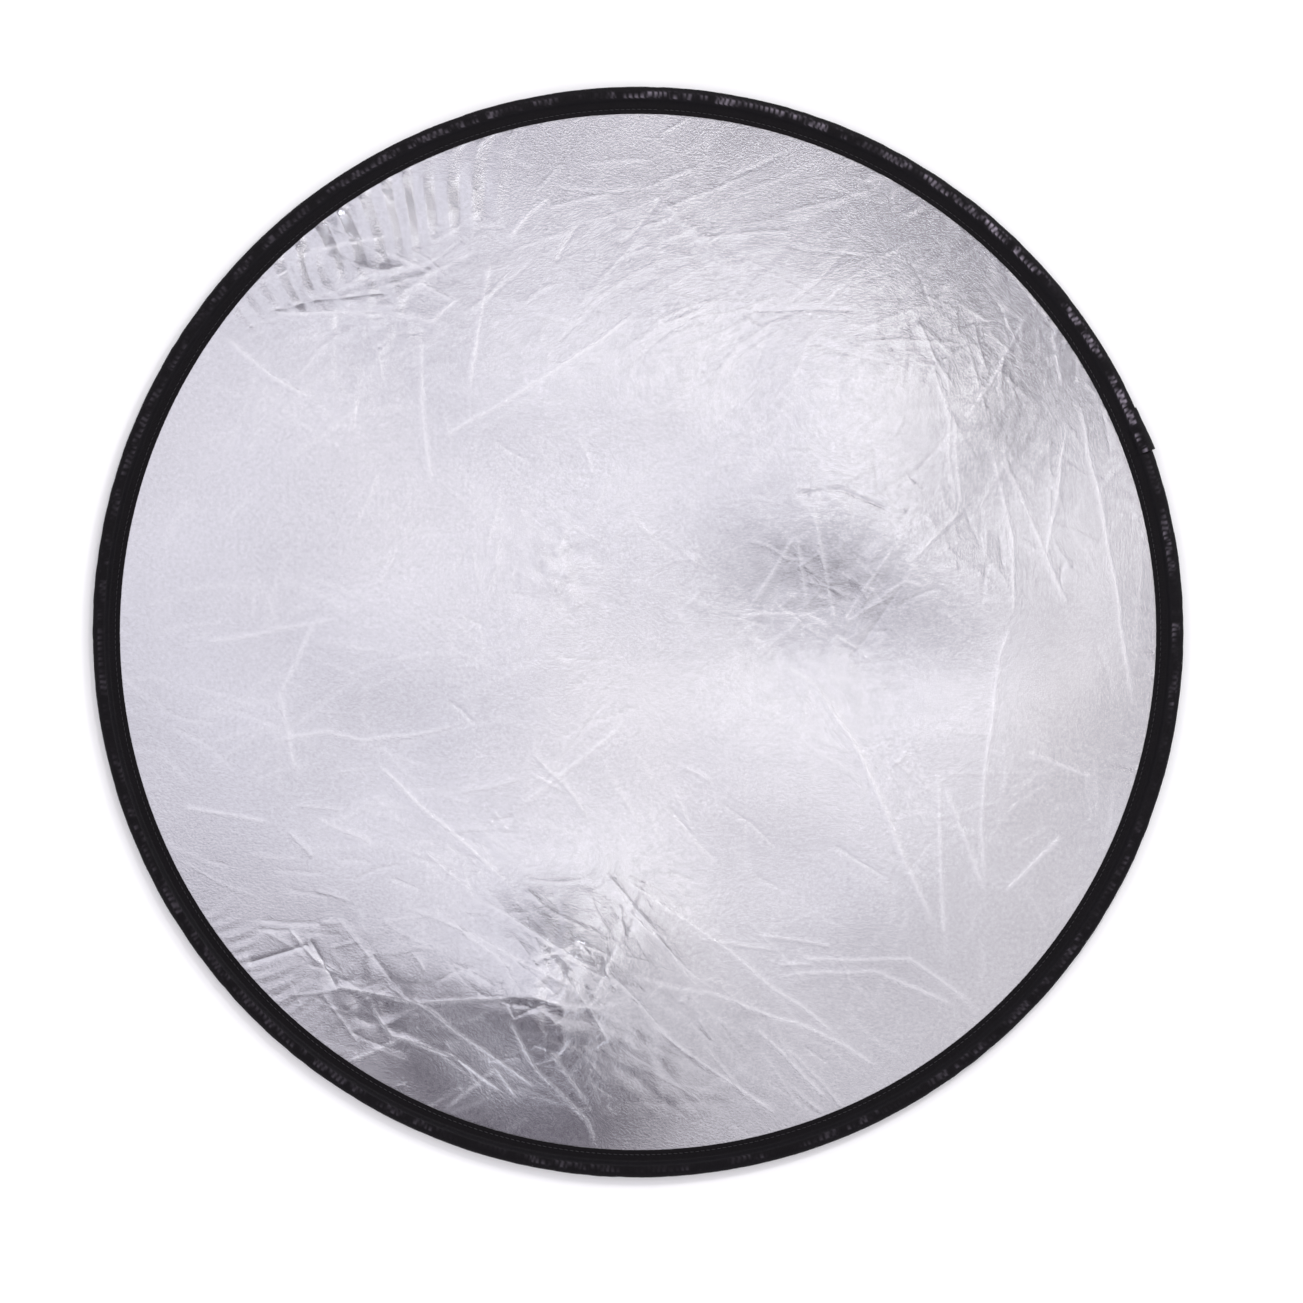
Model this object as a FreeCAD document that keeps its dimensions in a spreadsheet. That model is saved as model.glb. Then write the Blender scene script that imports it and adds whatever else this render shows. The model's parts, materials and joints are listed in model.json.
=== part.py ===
import FreeCAD, Part
import Sketcher
import math
import os

# A collapsible reflector disc: a flat spring-steel band closed into a hoop, two cloth faces back
# to back inside it, and a woven tape folded round the hoop and sewn through the cloth.
#
# The disc lies flat. Z is its axis, the origin is at its centre on the underside of the rim, and
# angles count anticlockwise from X, seen from above. Everything is in millimetres and degrees.
#
# The hoop and its binding are cut into equal arcs that hinge on one another, numbered
# anticlockwise from the lap, where the hoop's two ends meet. The band winds inwards by a little
# at each arc, so its last end lies inside its first and slides past it as the disc coils up.

DRIVING_DIMENSIONS = [
    # the whole disc
    ("disc_diameter", 600, "outside of the binding"),
    ("rim_width", 15, "binding, from its inner edge to its outside"),
    ("rim_height", 7, "the tube of binding that holds the hoop"),
    # the binding tape
    ("tape_thickness", 0.5, "woven tape"),
    ("tube_width", 5.1, "tube, measured along the radius"),
    ("tube_rounding", 1.2, "outer corners of the tube"),
    # the two cloth faces
    ("panel_thickness", 0.3, "each cloth face"),
    ("panel_tuck", 9, "how far the cloth runs in under the tape"),
    ("panel_clearance", 0.05, "between the cloth and the tape"),
    # the spring-steel hoop
    ("band_height", 4.8, "width of the band, which stands on edge"),
    ("band_thickness", 0.8, "thickness of the band"),
    ("band_inset", 1.4, "outside of the binding to the middle of the first arc's band"),
    ("band_step", 0.06, "how much further in each arc's band lies than the one before"),
    ("segment_count", 24, "arcs that the hoop and the binding are cut into"),
    ("segment_gap", 0.15, "each end of an arc stops this far short of the hinge"),
    ("lap_angle", 20, "where the first arc starts"),
    ("tongue_angle", 3, "how far the last arc's band runs on inside the first"),
    # the crimped clip on the hoop's first end
    ("clip_wall", 0.4, "sheet steel"),
    ("clip_bend", 0.6, "outside of its two bends"),
    ("clip_cavity", 3, "inside width, along the radius"),
    ("clip_clearance", 0.1, "under the band and under the clip"),
    # the lapped end of the tape
    ("lap_angle_before", 0.5, "how far the lap reaches back over the last arc"),
    ("lap_angle_after", 2.3, "how far the lap reaches on over the first arc"),
    ("lap_clearance", 0.1, "between the lap and the tube under it"),
    ("lap_low_edge", 1.5, "height of the lap's lower edge on the outside"),
    # the seam
    ("seam_inset", 2.5, "the tape's inner edge to the row of stitches"),
    ("thread_diameter", 0.35, "sewing thread"),
    ("seam_start", 4, "the row of stitches starts this many degrees past the lap"),
    ("seam_sweep", 354, "and runs this many degrees"),
]

doc = FreeCAD.newDocument("reflector_disc")
dims = doc.addObject("Spreadsheet::Sheet", "dims")
for row, (alias, number, meaning) in enumerate(DRIVING_DIMENSIONS, start=1):
    dims.set(f"A{row}", alias)
    dims.set(f"B{row}", str(number))
    dims.set(f"C{row}", meaning)
    dims.setAlias(f"B{row}", alias)
doc.recompute()

# Sizes that several sub-parts share, as expressions on the driving dimensions.
OUTSIDE = "dims.disc_diameter / 2"
TAPE_EDGE = f"({OUTSIDE} - dims.rim_width)"
TUBE_INSIDE = f"({OUTSIDE} - dims.tube_width)"
CAVITY_INSIDE = f"({TUBE_INSIDE} + dims.tape_thickness)"
CAVITY_OUTSIDE = f"({OUTSIDE} - dims.tape_thickness)"
CAVITY_ROUNDING = "(dims.tube_rounding - dims.tape_thickness)"
MIDDLE = "dims.rim_height / 2"
BAND_LOW = f"({MIDDLE} - dims.band_height / 2)"
BAND_HIGH = f"({MIDDLE} + dims.band_height / 2)"
SLOT_HALF = "(dims.panel_thickness + dims.panel_clearance)"
FLANGE_HALF = f"({SLOT_HALF} + dims.tape_thickness)"
FLANGE_LOW = f"({MIDDLE} - {FLANGE_HALF})"
FLANGE_HIGH = f"({MIDDLE} + {FLANGE_HALF})"
PANEL_RADIUS = f"({TAPE_EDGE} + dims.panel_tuck)"
SEAM_RADIUS = f"({TAPE_EDGE} + dims.seam_inset)"
ARC_ANGLE = "(360 / dims.segment_count)"
GAP_ANGLE = f"(dims.segment_gap / ({OUTSIDE}) * 180 / pi)"


def size(expression):
    """What an expression on the driving dimensions comes to."""
    return float(dims.evalExpression(expression))


def sketch_on_radius_plane(body, name):
    """A sketch in the body's XZ plane: its x is the disc's radius, and its y the height."""
    plane = next(f for f in body.Origin.OriginFeatures if f.Role == "XZ_Plane")
    sketch = body.newObject("Sketcher::SketchObject", name)
    sketch.AttachmentSupport = [(plane, "")]
    sketch.MapMode = "FlatFace"
    return sketch


def tie(sketch, kind, line, expression):
    """Holds the start of a sketch line at a distance from the origin that follows the sheet."""
    found = sketch.addConstraint(Sketcher.Constraint(kind, -1, 1, line, 1, size(expression)))
    sketch.setExpression(f"Constraints[{found}]", expression)


def corner_cut(before, corner, after, rounding):
    """Where a rounded corner's arc starts and ends, and its middle, on sides that run along x and y."""
    back = (before - corner).normalize() * rounding
    on = (after - corner).normalize() * rounding
    return corner + back, corner + on, corner + back + on


def draw_outline(sketch, corners):
    """A closed outline whose sides run along the radius and the height in turn.

    corners are (radius, height, rounding) expressions, and a rounding of None is a sharp corner.
    The first side, from the first corner to the second, runs along the radius.
    """
    count = len(corners)
    points = [FreeCAD.Vector(size(x), size(y), 0) for x, y, _ in corners]
    starts, ends, arcs = list(points), list(points), {}
    for n, (_, _, rounding) in enumerate(corners):
        if rounding:
            ends[n], starts[n], arcs[n] = corner_cut(
                points[n - 1], points[n], points[(n + 1) % count], size(rounding)
            )
    for n in range(count):
        sketch.addGeometry(Part.LineSegment(starts[n], ends[(n + 1) % count]), False)
    for n, (x, y, _) in enumerate(corners):
        along_radius = n % 2 == 0
        sketch.addConstraint(Sketcher.Constraint("Horizontal" if along_radius else "Vertical", n))
        if along_radius:
            tie(sketch, "DistanceY", n, y)
        else:
            tie(sketch, "DistanceX", n, x)
    for n, (_, _, rounding) in enumerate(corners):
        line_in = (n - 1) % count
        if rounding:
            join_by_arc(sketch, line_in, n, ends[n], starts[n], arcs[n], rounding)
        else:
            sketch.addConstraint(Sketcher.Constraint("Coincident", line_in, 2, n, 1))


def join_by_arc(sketch, line_in, line_out, start, end, middle, rounding):
    """Joins two lines of a sketch by an arc that is tangent to both."""
    turn = (start - middle).cross(end - middle).z
    first, last = (start, end) if turn > 0 else (end, start)
    angles = [math.atan2(p.y - middle.y, p.x - middle.x) for p in (first, last)]
    circle = Part.Circle(middle, FreeCAD.Vector(0, 0, 1), size(rounding))
    arc = sketch.addGeometry(Part.ArcOfCircle(circle, angles[0], angles[1]), False)
    at_start, at_end = (1, 2) if turn > 0 else (2, 1)
    sketch.addConstraint(Sketcher.Constraint("Tangent", line_in, 2, arc, at_start))
    sketch.addConstraint(Sketcher.Constraint("Tangent", arc, at_end, line_out, 1))
    held = sketch.addConstraint(Sketcher.Constraint("Radius", arc, size(rounding)))
    sketch.setExpression(f"Constraints[{held}]", rounding)


def ring_piece(label, corners, start, sweep):
    """A piece of the rim: a section drawn on the radius and turned about the disc's axis."""
    body = doc.addObject("PartDesign::Body", label)
    body.Label = label
    section = sketch_on_radius_plane(body, label + "_section")
    draw_outline(section, corners)
    turned = body.newObject("PartDesign::Revolution", label + "_turned")
    turned.Profile = section
    turned.ReferenceAxis = (section, ["V_Axis"])
    turned.setExpression("Angle", sweep)
    body.Tip = turned
    body.setExpression("Placement.Rotation.Angle", f"({start}) * 1 deg")
    return body


def segment_start(number):
    """Where an arc starts, clear of its hinge."""
    return f"dims.lap_angle + {number - 1} * {ARC_ANGLE} + {GAP_ANGLE}"


def segment_sweep(overrun="0"):
    """How far an arc runs, clear of the hinges at both ends, with what it runs on past the second."""
    return f"{ARC_ANGLE} - 2 * {GAP_ANGLE} + {overrun}"


def band_section(number):
    """The spring band stands on edge, halfway up the rim."""
    middle = f"{OUTSIDE} - dims.band_inset - {number - 1} * dims.band_step"
    inner, outer = f"({middle} - dims.band_thickness / 2)", f"({middle} + dims.band_thickness / 2)"
    return [
        (inner, BAND_LOW, None),
        (outer, BAND_LOW, None),
        (outer, BAND_HIGH, None),
        (inner, BAND_HIGH, None),
    ]


def binding_section():
    """Tape of one thickness, folded round the hoop as a tube and over the cloth as a flange."""
    tube, cavity = "dims.tube_rounding", CAVITY_ROUNDING
    slot_low, slot_high = f"({MIDDLE} - {SLOT_HALF})", f"({MIDDLE} + {SLOT_HALF})"
    cavity_low, cavity_high = "dims.tape_thickness", "(dims.rim_height - dims.tape_thickness)"
    return [
        (TAPE_EDGE, FLANGE_HIGH, None),
        (TUBE_INSIDE, FLANGE_HIGH, None),
        (TUBE_INSIDE, "dims.rim_height", tube),
        (OUTSIDE, "dims.rim_height", tube),
        (OUTSIDE, "0", tube),
        (TUBE_INSIDE, "0", tube),
        (TUBE_INSIDE, FLANGE_LOW, None),
        (TAPE_EDGE, FLANGE_LOW, None),
        (TAPE_EDGE, slot_low, None),
        (CAVITY_INSIDE, slot_low, None),
        (CAVITY_INSIDE, cavity_low, cavity),
        (CAVITY_OUTSIDE, cavity_low, cavity),
        (CAVITY_OUTSIDE, cavity_high, cavity),
        (CAVITY_INSIDE, cavity_high, cavity),
        (CAVITY_INSIDE, slot_high, None),
        (TAPE_EDGE, slot_high, None),
    ]


def clip_section():
    """A channel of sheet steel, open upwards, crimped onto the outside of the first arc's band."""
    face = f"({OUTSIDE} - dims.band_inset + dims.band_thickness / 2)"
    cavity_end = f"({face} - dims.clip_cavity)"
    floor = f"({BAND_LOW} - dims.clip_clearance)"
    inner, outer = f"({cavity_end} - dims.clip_wall)", f"({face} + dims.clip_wall)"
    under = f"({floor} - dims.clip_wall)"
    return [
        (inner, under, "dims.clip_bend"),
        (outer, under, "dims.clip_bend"),
        (outer, BAND_HIGH, None),
        (face, BAND_HIGH, None),
        (face, floor, None),
        (cavity_end, floor, None),
        (cavity_end, BAND_HIGH, None),
        (inner, BAND_HIGH, None),
    ]


def lap_section():
    """The tape's free end, laid over the flange and the tube and down the outside."""
    flange = f"({FLANGE_HIGH} + dims.lap_clearance)"
    crown = "(dims.rim_height + dims.lap_clearance)"
    shoulder = f"({TUBE_INSIDE} - dims.lap_clearance)"
    side = f"({OUTSIDE} + dims.lap_clearance)"
    near = "(dims.tube_rounding + dims.lap_clearance)"
    far = f"({near} + dims.tape_thickness)"
    return [
        (TAPE_EDGE, flange, None),
        (shoulder, flange, None),
        (shoulder, crown, near),
        (side, crown, near),
        (side, "dims.lap_low_edge", None),
        (f"({side} + dims.tape_thickness)", "dims.lap_low_edge", None),
        (f"({side} + dims.tape_thickness)", f"({crown} + dims.tape_thickness)", far),
        (f"({shoulder} - dims.tape_thickness)", f"({crown} + dims.tape_thickness)", far),
        (f"({shoulder} - dims.tape_thickness)", f"({flange} + dims.tape_thickness)", None),
        (TAPE_EDGE, f"({flange} + dims.tape_thickness)", None),
    ]


def cloth_face(label, underside):
    """One cloth face, cut as a disc whose edge lies inside the binding."""
    face = doc.addObject("Part::Cylinder", label)
    face.Label = label
    face.setExpression("Radius", PANEL_RADIUS)
    face.setExpression("Height", "dims.panel_thickness")
    face.setExpression("Placement.Base.z", underside)
    return face


def row_of_stitches(label, height):
    """The thread on one side of the seam, as a plain ring that lies on the tape."""
    row_of_thread = doc.addObject("Part::Torus", label)
    row_of_thread.Label = label
    row_of_thread.setExpression("Radius1", SEAM_RADIUS)
    row_of_thread.setExpression("Radius2", "dims.thread_diameter / 2")
    row_of_thread.setExpression("Angle3", "dims.seam_sweep")
    row_of_thread.setExpression("Placement.Base.z", height)
    row_of_thread.setExpression("Placement.Rotation.Angle", "(dims.lap_angle + dims.seam_start) * 1 deg")
    return row_of_thread


def hoop():
    """The spring band in its arcs; the last has a tongue that lies inside the first."""
    count = int(size("dims.segment_count"))
    for number in range(1, count + 1):
        overrun = "dims.tongue_angle" if number == count else "0"
        yield ring_piece(
            f"hoop_arc_{number:02d}",
            band_section(number),
            segment_start(number),
            segment_sweep(overrun),
        )


def binding():
    """The tape in its arcs, each over one arc of the hoop."""
    for number in range(1, int(size("dims.segment_count")) + 1):
        yield ring_piece(
            f"binding_arc_{number:02d}",
            binding_section(),
            segment_start(number),
            segment_sweep(),
        )


clearance = "(dims.thread_diameter / 2 + dims.panel_clearance)"
sub_parts = [
    *hoop(),
    ring_piece("hoop_clip", clip_section(), segment_start(1), "dims.tongue_angle"),
    *binding(),
    ring_piece(
        "binding_lap",
        lap_section(),
        "dims.lap_angle - dims.lap_angle_before",
        "dims.lap_angle_before + dims.lap_angle_after",
    ),
    cloth_face("front_panel", MIDDLE),
    cloth_face("rear_panel", f"{MIDDLE} - dims.panel_thickness"),
    row_of_stitches("needle_thread", f"{FLANGE_HIGH} + {clearance}"),
    row_of_stitches("bobbin_thread", f"{FLANGE_LOW} - {clearance}"),
]
doc.recompute()

failed = [o.Name for o in doc.Objects if {"Invalid", "Error"} & set(o.State)]
failed += [o.Label for o in sub_parts if o.Shape.isNull() or not o.Shape.isValid()]
failed += [o.Label for o in sub_parts if len(o.Shape.Solids) != 1]
if failed:
    raise RuntimeError(f"these objects did not build: {sorted(set(failed))}")

os.makedirs("parts", exist_ok=True)
for sub_part in sub_parts:
    sub_part.Shape.exportStep(f"parts/{sub_part.Label}.step")
box = sub_parts[0].Shape.optimalBoundingBox()
for sub_part in sub_parts[1:]:
    box.add(sub_part.Shape.optimalBoundingBox())
print(f"{len(sub_parts)} sub-parts, {box.XLength:.1f} x {box.YLength:.1f} x {box.ZLength:.1f} mm")
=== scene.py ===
"""A collapsible reflector disc, lying face up: two cloths in a black binding round a sprung hoop."""

import json
import math

import bpy
import numpy as np
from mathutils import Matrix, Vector

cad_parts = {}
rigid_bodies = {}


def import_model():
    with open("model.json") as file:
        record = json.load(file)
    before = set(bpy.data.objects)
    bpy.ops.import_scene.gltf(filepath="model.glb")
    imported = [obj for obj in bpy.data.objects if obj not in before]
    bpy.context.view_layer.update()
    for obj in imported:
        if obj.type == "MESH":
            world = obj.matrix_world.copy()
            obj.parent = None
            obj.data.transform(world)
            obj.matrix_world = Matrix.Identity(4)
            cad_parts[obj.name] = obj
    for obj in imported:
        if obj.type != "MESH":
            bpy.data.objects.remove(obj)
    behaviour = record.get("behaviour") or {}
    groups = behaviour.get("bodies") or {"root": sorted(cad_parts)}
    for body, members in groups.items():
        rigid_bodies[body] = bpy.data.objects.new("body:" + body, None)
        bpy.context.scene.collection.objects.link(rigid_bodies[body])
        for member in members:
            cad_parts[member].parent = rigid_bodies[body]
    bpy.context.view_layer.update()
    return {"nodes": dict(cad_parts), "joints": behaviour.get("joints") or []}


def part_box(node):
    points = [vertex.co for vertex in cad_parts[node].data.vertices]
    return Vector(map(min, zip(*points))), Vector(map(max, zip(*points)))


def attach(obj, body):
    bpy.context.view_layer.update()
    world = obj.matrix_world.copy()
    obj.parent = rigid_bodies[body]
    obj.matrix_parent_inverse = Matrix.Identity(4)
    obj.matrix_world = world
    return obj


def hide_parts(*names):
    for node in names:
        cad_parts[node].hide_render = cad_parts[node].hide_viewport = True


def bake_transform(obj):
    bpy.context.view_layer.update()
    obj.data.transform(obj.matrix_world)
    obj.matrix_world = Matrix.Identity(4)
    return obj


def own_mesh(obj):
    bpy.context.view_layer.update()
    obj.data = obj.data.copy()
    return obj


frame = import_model()

MM = 0.001

# ---- sizes, from the frame

# The rim's bodies follow one another anticlockwise, each a sweep further, from the start.
JOINTS = frame["joints"]
RIMS = [JOINTS[0]["parent"]] + [joint["child"] for joint in JOINTS]
SWEEP = math.tau / len(RIMS)
FIRST_HINGE = math.atan2(JOINTS[0]["pos_m"][1], JOINTS[0]["pos_m"][0])
START = FIRST_HINGE - SWEEP


def reach(node):
    """The least and the greatest distance of a CAD node from the disc's axis."""
    points = np.array([v.co[:2] for v in frame["nodes"][node].data.vertices])
    distances = np.hypot(points[:, 0], points[:, 1])
    return distances.min(), distances.max()


TAPE_EDGE, DISC_RADIUS = reach("binding_arc_01")
CLOTH_RADIUS = reach("front_panel")[1]
SEAM_RADIUS = sum(reach("needle_thread")) / 2
RIM_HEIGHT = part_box("binding_arc_01")[1].z
MIDDLE = RIM_HEIGHT / 2
FRONT_LEVEL = sum(corner.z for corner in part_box("front_panel")) / 2
REAR_LEVEL = sum(corner.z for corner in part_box("rear_panel")) / 2
STITCH_LEVEL = sum(corner.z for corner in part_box("needle_thread")) / 2

# ---- camera

# How much of the picture's width the disc fills, and how far its middle is off the picture's, in
# metres on the disc.
DISC_IN_FRAME = 0.8377
DISC_OFF_CENTRE = Vector((-0.0074, 0.0107, 0))
CAMERA_HEIGHT = 5.0
VIEW_END = 100


def make_camera():
    """Straight above the disc, a long way off, with the disc a little left of and above the middle."""
    camera = bpy.data.objects.new("camera", bpy.data.cameras.new("camera"))
    bpy.context.scene.collection.objects.link(camera)
    camera.location = Vector((0, 0, CAMERA_HEIGHT)) - DISC_OFF_CENTRE
    width = 2 * DISC_RADIUS / DISC_IN_FRAME
    camera.data.lens = camera.data.sensor_width * (CAMERA_HEIGHT - RIM_HEIGHT) / width
    camera.data.clip_end = VIEW_END
    bpy.context.scene.camera = camera


# ---- the raster that the cloth is shaped on

# The cloth's shape is worked out on a square raster first. Each noise repeats after a lattice's size.
RASTER = 0.5 * MM
RASTER_HALF = CLOTH_RADIUS + 2 * RASTER
AXIS = np.arange(-RASTER_HALF, RASTER_HALF + RASTER, RASTER)
X, Y = np.meshgrid(AXIS, AXIS, indexing="ij")
RADIUS = np.hypot(X, Y)
LATTICE = 128


def noise(x, y, cell, seed):
    """Smooth noise from -1 to 1, with bumps about one cell across."""
    table = np.random.default_rng(seed).uniform(-1, 1, (LATTICE, LATTICE))
    u, v = x / cell, y / cell
    column, row = np.floor(u).astype(int), np.floor(v).astype(int)
    u, v = u - column, v - row
    u, v = u * u * u * (u * (6 * u - 15) + 10), v * v * v * (v * (6 * v - 15) + 10)
    near, far = column % LATTICE, (column + 1) % LATTICE
    low, high = row % LATTICE, (row + 1) % LATTICE
    bottom = table[near, low] * (1 - u) + table[far, low] * u
    top = table[near, high] * (1 - u) + table[far, high] * u
    return bottom * (1 - v) + top * v


def ramp(value, start, end):
    """0 before start, 1 after end, and smooth between them."""
    t = np.clip((value - start) / (end - start), 0, 1)
    return t * t * (3 - 2 * t)


def wandered(bend, distance, seed):
    """The raster's x and y, moved by up to the bend, so that a straight line on them wanders."""
    return X + bend * noise(X, Y, distance, seed), Y + bend * noise(X, Y, distance, seed + 1)


def mound(middle, spread):
    """1 at the middle, falling away over the spread. Both are shares of the disc's radius."""
    across = (X / DISC_RADIUS - middle[0]) ** 2 + (Y / DISC_RADIUS - middle[1]) ** 2
    return np.exp(-across / (2 * spread**2))


def sample(table, x, y):
    """A raster's values at points between its own."""
    u, v = (x + RASTER_HALF) / RASTER, (y + RASTER_HALF) / RASTER
    column, row = np.floor(u).astype(int), np.floor(v).astype(int)
    u, v = u - column, v - row
    left = table[column, row] * (1 - v) + table[column, row + 1] * v
    right = table[column + 1, row] * (1 - v) + table[column + 1, row + 1] * v
    return left * (1 - u) + right * u


# ---- the cloth's shape

# Where the cloth stands up or hangs down: its middle and spread as shares of the disc's radius, and
# its rise in millimetres.
SWELLS = [
    ((0.51, 0.50), 0.19, 1.7),
    ((0.25, -0.14), 0.20, -0.8),
    ((-0.18, -0.73), 0.16, 6.0),
    ((-0.46, -0.70), 0.10, 0.5),
    ((0.60, -0.45), 0.22, 0.3),
]

# How far the whole cloth stands above its level at the rim, in millimetres.
BASE_RISE = 1.1

# Tilted facets: middle and spread as shares of the radius, the direction in degrees in which the facet
# climbs, and half its width and half its rise in millimetres.
FACETS = [
    ((0.36, 0.10), 0.15, 62, 28, 0.88),
    ((0.60, 0.18), 0.13, 242, 30, 0.60),
    ((-0.52, 0.70), 0.09, 242, 22, 0.85),
    ((0.26, 0.00), 0.06, 40, 12, 0.15),
    ((0.68, 0.37), 0.10, 242, 20, 0.15),
]

# Crumpled patches: middle and spread as shares of the disc's radius, how crushed the film is there,
# and how deep the folds are.
CRUMPLES = [
    ((0.34, 0.08), 0.13, 0.8, 0.4),
    ((-0.16, -0.66), 0.10, 0.5, 2.0),
    ((-0.50, -0.72), 0.11, 0.3, 1.3),
    ((0.05, -0.80), 0.14, 0.3, 0.9),
    ((-0.15, 0.12), 0.06, 0.4, 0.5),
    ((0.69, 0.36), 0.10, 0.7, 0.3),
    ((0.55, 0.58), 0.14, 0.35, 0.3),
    ((-0.50, 0.62), 0.14, 0.4, 1.0),
    ((0.10, 0.66), 0.18, 0.35, 0.3),
    ((-0.05, -0.52), 0.10, 0.4, 0.3),
]

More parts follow.
